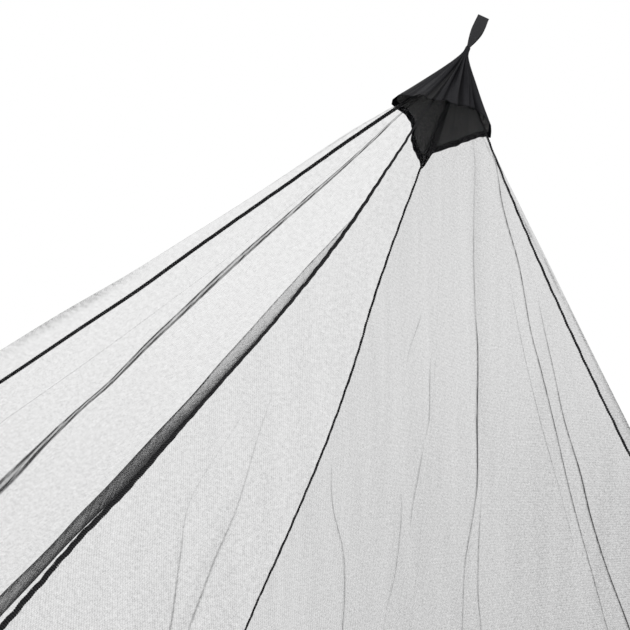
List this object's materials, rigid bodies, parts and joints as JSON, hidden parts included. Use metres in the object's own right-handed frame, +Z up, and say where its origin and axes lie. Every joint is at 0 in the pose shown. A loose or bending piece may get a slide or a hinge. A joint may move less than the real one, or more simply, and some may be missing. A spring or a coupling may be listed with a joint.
{
  "type": "mosquito net canopy",
  "caption": "Hanging pyramid net of fine black mesh with overlocked corner seams, a gathered cloth cap and a webbing loop at its peak.",
  "frame": {"origin": "the flat underside of the top of the hanging loop, where a hook or line carries the net", "axes": "+Z up, +X along the net's length, +Y from its front long side to its back long side"},
  "size_m": [2.4619, 1.2456, 1.4174],
  "materials": {
    "net": "fine open mesh",
    "seam": "overlocked thread",
    "cap": "close weave with a slight sheen",
    "webbing": "woven narrow webbing"
  },
  "bodies": {
    "root": {"net_front": "net", "net_right": "net", "net_back": "net", "net_left": "net", "seam_front_left": "seam", "seam_front_right": "seam", "seam_back_left": "seam", "seam_back_right": "seam", "cap": "cap", "hanging_loop": "webbing"}
  },
  "joints": []
}
